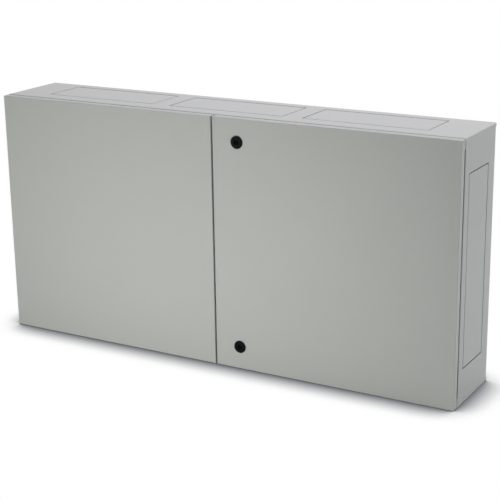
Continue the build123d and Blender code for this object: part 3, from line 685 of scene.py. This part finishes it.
class Fastener(ABC):
    """A kind of fastener, built in the place of the plain ones of a CAD node."""

    style: ClassVar[str]
    run: ClassVar[Run]

    @abstractmethod
    def add(self, mesh: RingMesh, seat: Seat) -> None:
        """Add one fastener to a mesh at a seat."""

    def build(
        self,
        frame: dict,
        node: str,
        towards: Vector,
        material: bpy.types.Material,
        body: str = "cabinet",
    ) -> None:
        """Build all the fasteners of a CAD node as one piece that replaces it.

        Args:
            frame: The loaded frame.
            node: Name of the node.
            towards: Point that the free end of each fastener looks towards.
            material: Finish of the fasteners.
            body: Body that they move with.
        """
        mesh = RingMesh(f"{node}_{self.style}")
        for seat in seats_of(frame, node, self.run, towards):
            self.add(mesh, seat)
        mesh.finish(material, body, [node])


@dataclass(frozen=True)
class Nut(Fastener):
    """Hexagon nut: chamfered corners, a countersunk bore and a washer face."""

    style: ClassVar[str] = "chamfered"
    run: ClassVar[Run] = Run.SHORTEST

    bore: float
    collar: float = 0.3 * MM
    cone_share: float = 0.47
    sink_share: float = 0.12

    def add(self, mesh: RingMesh, seat: Seat) -> None:
        """Add one nut to a mesh at a seat."""
        flats = seat.width
        height = seat.length
        cone = self.cone_share * flats
        sink = self.sink_share * self.bore
        rings = [
            round_ring(self.bore, 0.0),
            round_ring(cone, 0.0),
            round_ring(cone, self.collar),
            hex_ring(flats, None, self.collar),
            hex_ring(flats, cone, height),
            round_ring(cone, height),
            round_ring(self.bore + sink, height),
            round_ring(self.bore, height - sink),
        ]
        mesh.loft(rings, seat.matrix(), looped=True)


@dataclass(frozen=True)
class ThreadedRod(Fastener):
    """Stud with a rolled thread and a chamfered tip."""

    style: ClassVar[str] = "threaded"
    run: ClassVar[Run] = Run.LONGEST

    pitch: float
    plain: float = 1.5 * MM
    depth_share: float = 0.6
    steps: int = 6
    around: int = 18

    def add(self, mesh: RingMesh, seat: Seat) -> None:
        """Add one stud to a mesh at a seat."""
        crest = seat.width / 2
        depth = self.depth_share * self.pitch
        rings = [round_ring(crest, 0.0, self.around)]
        levels = int((seat.length - self.plain) / self.pitch * self.steps)
        for level in range(levels + 1):
            height = self.plain + (seat.length - self.plain) * level / levels
            tip = max(0.0, height - seat.length + depth)
            rings.append(self._thread_ring(crest - tip, depth, height))
        mesh.loft(rings, seat.matrix())

    def _thread_ring(self, crest: float, depth: float, height: float) -> Ring:
        """One level cut through the thread, whose depth depends on the turn and the height."""
        ring = round_ring(crest, height, self.around)
        for index, point in enumerate(ring):
            phase = (height / self.pitch - index / self.around) % 1.0
            valley = depth * (1.0 - abs(2.0 * phase - 1.0))
            share = (crest - valley) / crest
            point.x *= share
            point.y *= share
        return ring


@dataclass(frozen=True)
class PanScrew(Fastener):
    """Screw with a low domed head and a star-shaped drive."""

    style: ClassVar[str] = "domed"
    run: ClassVar[Run] = Run.DEPTH

    height: float
    shank: float = 0.62
    drive: float = 0.5
    drive_taper: float = 0.94
    drive_depth: float = 0.6
    dome: tuple[tuple[float, float], ...] = ((1.0, 0.45), (0.95, 0.72), (0.82, 0.92), (0.64, 1.0))

    def add(self, mesh: RingMesh, seat: Seat) -> None:
        """Add one screw to a mesh, with its head outwards and its shank behind the seat."""
        radius = seat.width / 2
        drive = self.drive * radius
        floor = self.height * (1.0 - self.drive_depth)
        shank = self.shank * radius
        rings = [
            round_ring(shank, self.height - seat.length),
            round_ring(shank, 0.0),
            round_ring(radius, 0.0),
            *(round_ring(reach * radius, rise * self.height) for reach, rise in self.dome),
            lobed_ring(drive, self.height),
            lobed_ring(self.drive_taper * drive, floor),
        ]
        mesh.loft(rings, seat.under_head(self.height).matrix())


@dataclass
class Shell:
    """Folded panels of the cabinet, its centre post and gland plates."""

    finishes: Finishes
    panels: tuple[str, ...] = (
        "top_panel",
        "bottom_panel",
        "left_side_panel",
        "right_side_panel",
        "back_panel",
        "centre_post",
    )
    plate_rows: tuple[str, ...] = ("top", "bottom")
    plate_sides: tuple[str, ...] = ("left", "right")
    plates_in_row: int = 3
    stud_pitch: float = 0.8 * MM
    nut_bore: float = 2.52 * MM

    def plate_names(self) -> list[str]:
        """Names of all the gland plates."""
        rows = [
            f"{row}_gland_plate_{number}"
            for row in self.plate_rows
            for number in range(1, self.plates_in_row + 1)
        ]
        return rows + [f"{side}_gland_plate" for side in self.plate_sides]

    def build(self, frame: dict) -> None:
        """Dress the panels, the plates and the flat seals."""
        dress(frame, self.panels, self.finishes.cabinet)
        dress(frame, self.plate_names(), self.finishes.plates)
        seals = [f"{place}_gland_seals" for place in (*self.plate_rows, "side")]
        dress(frame, seals, self.finishes.rubber)
        self.fasten(frame)

    def fasten(self, frame: dict) -> None:
        """Build the threaded studs and the nuts of the gland plates and of the earthing point."""
        inside = cabinet_centre()
        zinc = self.finishes.zinc
        ThreadedRod(self.stud_pitch).build(frame, "gland_plate_studs", inside, zinc)
        Nut(self.nut_bore).build(frame, "gland_plate_nuts", inside, zinc)
        Nut(EARTH_BORE).build(frame, "cabinet_earth_nut", inside, zinc)


@dataclass
class MountingPlate:
    """Galvanised plate inside, with its spacers and nuts."""

    finishes: Finishes
    stud_pitch: float = 1.25 * MM
    nut_bore: float = 4.02 * MM

    def build(self, frame: dict) -> None:
        """Dress the plate and its spacers, and build the studs and nuts that hold it."""
        zinc = self.finishes.zinc
        dress(frame, ("mounting_plate",), self.finishes.galvanised)
        dress(frame, ("mounting_spacers",), zinc)
        inside = cabinet_centre()
        ThreadedRod(self.stud_pitch).build(frame, "back_panel_studs", inside, zinc)
        Nut(self.nut_bore).build(frame, "mounting_nuts", inside, zinc)


@dataclass
class FoamSeal:
    """Foamed ring of one leaf: a bead with a domed back and rounded corners."""

    leaf: Leaf
    finishes: Finishes
    width: float = 10.0 * MM
    outer_corner: float = 8.0 * MM
    inner_corner: float = 4.0 * MM
    base_height: float = 0.25
    steps: int = 10

    def build(self, frame: dict) -> None:
        """Loft the bead round the leaf in the place of the plain seal."""
        node = f"{self.leaf.value}_door_seal"
        low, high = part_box(node)
        mesh = RingMesh(f"{node}_bead")
        profile = [(0.0, 0.0)]
        for step in range(self.steps + 1):
            across = step / self.steps
            crown = math.sqrt(max(0.0, 1.0 - (2.0 * across - 1.0) ** 2))
            profile.append((across, self.base_height + (1.0 - self.base_height) * crown))
        profile.append((1.0, 0.0))
        rings = []
        for across, share in profile:
            inset = across * self.width
            corner = self.outer_corner + (self.inner_corner - self.outer_corner) * across
            height = low.y + share * (high.y - low.y)
            start = (low.x + inset, low.z + inset)
            end = (high.x - inset, high.z - inset)
            rings.append(rectangle_ring(start, end, corner, height))
        mesh.loft(rings, Matrix.Identity(4), looped=True)
        body = f"{self.leaf.value}_door"
        mesh.finish(self.finishes.foam, body, [node], sharp=50.0)


@dataclass
class Door:
    """One leaf with its seal, stiffener, hinges and earthing nut."""

    leaf: Leaf
    finishes: Finishes

    def build(self, frame: dict) -> None:
        """Dress the leaf and what it carries."""
        leaf = self.leaf.value
        dress(frame, (f"{leaf}_door", f"{leaf}_door_stiffener"), self.finishes.doors)
        FoamSeal(self.leaf, self.finishes).build(frame)
        earth = Nut(EARTH_BORE)
        zinc = self.finishes.zinc
        earth.build(frame, f"{leaf}_door_earth_nut", cabinet_centre(), zinc, f"{leaf}_door")
        dress(frame, (f"{leaf}_hinge_pins",), self.finishes.steel)
        for level in Level:
            dress(frame, (f"{leaf}_{level.value}_hinge_arm",), self.finishes.casting)
            dress(frame, (f"{leaf}_{level.value}_hinge_bracket",), self.finishes.steel)


@dataclass
class HingeScrews:
    """Screws that hold the hinge arms to the gutter floors."""

    finishes: Finishes
    head_height: float = 2.8 * MM

    def build(self, frame: dict) -> None:
        """Build domed screws with a star drive in the place of the plain ones."""
        ahead = Vector((0.0, -1.0, 0.0))
        PanScrew(self.head_height).build(frame, "hinge_screws", ahead, self.finishes.zinc)


@dataclass
class Lock:
    """One quarter-turn lock."""

    level: Level
    finishes: Finishes
    screw_head: float = 3.0 * MM
    nut_bore: float = 11.02 * MM

    def build(self, frame: dict) -> None:
        """Dress the housing, the core and the cam, and build the nut and the screw."""
        level = self.level.value
        zinc = self.finishes.zinc
        dress(frame, (f"{level}_lock_housing", f"{level}_lock_rotor"), self.finishes.plastic)
        dress(frame, (f"{level}_lock_cam",), self.finishes.steel)
        back = Vector((0.0, 1.0, 0.0))
        nut = Nut(self.nut_bore)
        nut.build(frame, f"{level}_lock_nut", back, zinc, "right_door")
        screw = PanScrew(self.screw_head)
        screw.build(frame, f"{level}_cam_screw", back, zinc, f"{level}_lock")


@dataclass
class SlideBolt:
    """One slide bolt of the left door with its bracket."""

    level: Level
    finishes: Finishes

    def build(self, frame: dict) -> None:
        """Dress the bolt and its bracket."""
        level = self.level.value
        dress(frame, (f"{level}_slide_bolt", f"{level}_bolt_bracket"), self.finishes.steel)


@dataclass(frozen=True)
class Softbox:
    """One square area lamp that faces a point. Mirrored tells if glossy surfaces reflect it."""

    name: str
    place: tuple[float, float, float]
    target: tuple[float, float, float]
    size: float
    color: tuple[float, float, float]
    power: float
    mirrored: bool = True

    def hang(self) -> None:
        """Put the lamp in the scene, hidden from the camera itself."""
        data = bpy.data.lights.new(self.name, "AREA")
        data.energy = self.power
        data.color = self.color
        data.size = self.size
        lamp = bpy.data.objects.new(self.name, data)
        lamp.location = self.place
        aim = Vector(self.target) - Vector(self.place)
        lamp.rotation_euler = aim.to_track_quat("-Z", "Y").to_euler()
        lamp.visible_camera = False
        lamp.visible_glossy = self.mirrored
        bpy.context.scene.collection.objects.link(lamp)


@dataclass
class Studio:
    """Floor, world light, lamps and camera."""

    camera_place: tuple[float, float, float] = (1.6753, -2.8255, 1.2705)
    camera_yaw: float = math.radians(30.04)
    camera_pitch: float = math.radians(16.83)
    camera_roll: float = math.radians(0.83)
    camera_lens: float = 95.40
    floor_size: float = 24.0
    floor_color: tuple[float, float, float] = (0.80, 0.80, 0.80)
    # The shadow_ fields shape the painted contact shadow on the floor, not a cast one.
    shadow_reach: float = 0.11
    shadow_samples: int = 16
    shadow_dark: float = 0.48
    shadow_clear: float = 0.90
    shadow_color: tuple[float, float, float] = (0.10, 0.105, 0.12)
    world_strength: float = 0.08
    sensor_width: float = 36.0
    softboxes: tuple[Softbox, ...] = (
        Softbox("top_softbox", (0.0, 0.6, 2.6), (0.0, 0.2, 0.3), 2.2, (0.94, 0.92, 1.0), 42.0),
        Softbox("front_softbox", (-0.2, -1.6, 0.2), (-0.15, 0.0, 0.0), 0.38, (0.98, 1.0, 0.96), 13.5, False),
        Softbox("side_softbox", (2.5, 0.4, 1.4), (0.6, 0.0, 0.3), 0.9, (0.96, 0.98, 1.0), 23.0),
        Softbox("back_softbox", (-2.0, 2.4, 0.32), (-0.2, 0.1, 0.3), 0.6, (1.0, 1.0, 1.0), 30.0),
    )

    def build(self) -> None:
        """Set up everything that isn't part of the object."""
        bpy.context.scene.view_settings.view_transform = "Standard"
        self._world()
        self._floor()
        for softbox in self.softboxes:
            softbox.hang()
        self._camera()

    def _world(self) -> None:
        """White surroundings: dimmer as a light than as the background that is seen."""
        world = bpy.data.worlds.new("studio")
        bpy.context.scene.world = world
        world.use_nodes = True
        world.node_tree.nodes.clear()
        sheet = Shader(world.node_tree)
        rays = sheet.node("ShaderNodeLightPath").outputs
        seen = sheet.math("ADD", rays["Is Camera Ray"], rays["Is Glossy Ray"])
        seen = sheet.math("MINIMUM", sheet.math("ADD", seen, rays["Is Transmission Ray"]), 1.0)
        extra = sheet.math("MULTIPLY", seen, 1.0 - self.world_strength)
        sky = sheet.node(
            "ShaderNodeBackground",
            Color=(1.0, 1.0, 1.0, 1.0),
            Strength=sheet.math("ADD", extra, self.world_strength),
        )
        output = sheet.node("ShaderNodeOutputWorld")
        world.node_tree.links.new(sky.outputs[0], output.inputs["Surface"])

    def _floor(self) -> None:
        """Plain pale floor that is white to the camera, apart from a painted contact shadow."""
        mesh = bpy.data.meshes.new("floor")
        half = self.floor_size / 2
        corners = [(-half, -half, 0.0), (half, -half, 0.0), (half, half, 0.0), (-half, half, 0.0)]
        mesh.from_pydata(corners, [], [(0, 1, 2, 3)])
        floor = bpy.data.objects.new("floor", mesh)
        bpy.context.scene.collection.objects.link(floor)
        material = bpy.data.materials.new("floor")
        material.use_nodes = True
        material.node_tree.nodes.clear()
        sheet = Shader(material.node_tree)
        # Painted contact shadow: nearness to the cabinet darkens the floor's glow seen by the camera,
        # through a ramp from shadow_color to white.
        painted_shadow_nearness = sheet.node(
            "ShaderNodeAmbientOcclusion",
            {"samples": self.shadow_samples},
            Distance=self.shadow_reach,
        )
        ramp = sheet.node("ShaderNodeValToRGB", Fac=painted_shadow_nearness.outputs["AO"])
        ramp.color_ramp.elements[0].position = self.shadow_dark
        ramp.color_ramp.elements[0].color = (*self.shadow_color, 1.0)
        ramp.color_ramp.elements[1].position = self.shadow_clear
        ramp.color_ramp.elements[1].color = (1.0, 1.0, 1.0, 1.0)
        glow = sheet.node("ShaderNodeEmission", Color=ramp.outputs["Color"], Strength=1.0)
        plain = sheet.node("ShaderNodeBsdfDiffuse", Color=(*self.floor_color, 1.0))
        rays = sheet.node("ShaderNodeLightPath").outputs
        mixed = sheet.node("ShaderNodeMixShader", Fac=rays["Is Camera Ray"])
        links = material.node_tree.links
        links.new(plain.outputs[0], mixed.inputs[1])
        links.new(glow.outputs[0], mixed.inputs[2])
        output = sheet.node("ShaderNodeOutputMaterial")
        links.new(mixed.outputs[0], output.inputs["Surface"])
        mesh.materials.append(material)

    def _camera(self) -> None:
        """Camera at the photograph's viewing angle."""
        data = bpy.data.cameras.new("camera")
        data.sensor_width = self.sensor_width
        data.lens = self.camera_lens
        camera = bpy.data.objects.new("camera", data)
        turn = Matrix.Rotation(self.camera_yaw, 3, "Z")
        tilt = Matrix.Rotation(math.pi / 2 - self.camera_pitch, 3, "X")
        roll = Matrix.Rotation(-self.camera_roll, 3, "Z")
        camera.location = self.camera_place
        camera.rotation_euler = (turn @ tilt @ roll).to_euler()
        bpy.context.scene.collection.objects.link(camera)
        bpy.context.scene.camera = camera


def main() -> None:
    """Build every sub-assembly around the frame."""
    logging.basicConfig(level=logging.INFO, format="%(message)s")
    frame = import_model()
    finishes = Finishes.build(SurfaceGroups.build())
    Shell(finishes).build(frame)
    HingeScrews(finishes).build(frame)
    MountingPlate(finishes).build(frame)
    for leaf in Leaf:
        Door(leaf, finishes).build(frame)
    for level in Level:
        Lock(level, finishes).build(frame)
        SlideBolt(level, finishes).build(frame)
    Studio().build()


if __name__ == "__main__":
    main()
